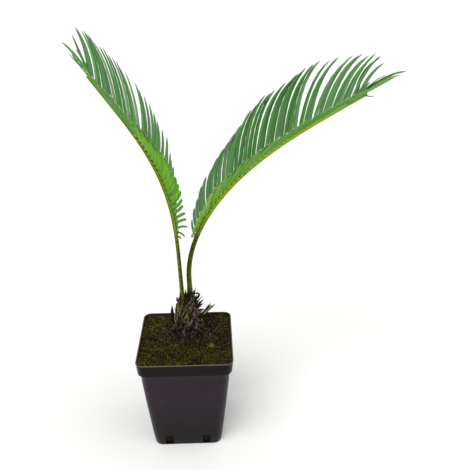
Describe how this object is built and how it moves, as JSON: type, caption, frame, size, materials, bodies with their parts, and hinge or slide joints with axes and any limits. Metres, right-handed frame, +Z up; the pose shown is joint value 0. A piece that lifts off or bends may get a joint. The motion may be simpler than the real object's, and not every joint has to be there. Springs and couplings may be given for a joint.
{
  "type": "potted sago palm",
  "caption": "Young sago palm with a short scaly caudex and two arching feather fronds, rooted in a square tapered nursery pot of dark plastic.",
  "frame": {"origin": "centre of the pot's flat underside", "axes": "+Z up, +Y towards the back of the pot, +X towards the side that the longer frond arches over"},
  "size_m": [0.2978, 0.1612, 0.3857],
  "materials": {
    "pot_plastic": "matte, slightly sheened",
    "potting_soil": "rough, moist, with moss",
    "caudex_bark": "rough, scaly",
    "dry_stalk": "dry, fibrous",
    "petiole_green": "satin",
    "leaflet_green": "satin, leathery"
  },
  "bodies": {
    "root": {"pot": "pot_plastic", "soil": "potting_soil", "caudex": "caudex_bark", "dried_stub": "dry_stalk", "dried_hook": "dry_stalk", "dead_spike": "dry_stalk", "frond_left_petiole": "petiole_green", "frond_left_lower": "leaflet_green", "frond_left_upper": "leaflet_green", "frond_right_petiole": "petiole_green", "frond_right_lower": "leaflet_green", "frond_right_upper": "leaflet_green"}
  },
  "joints": []
}
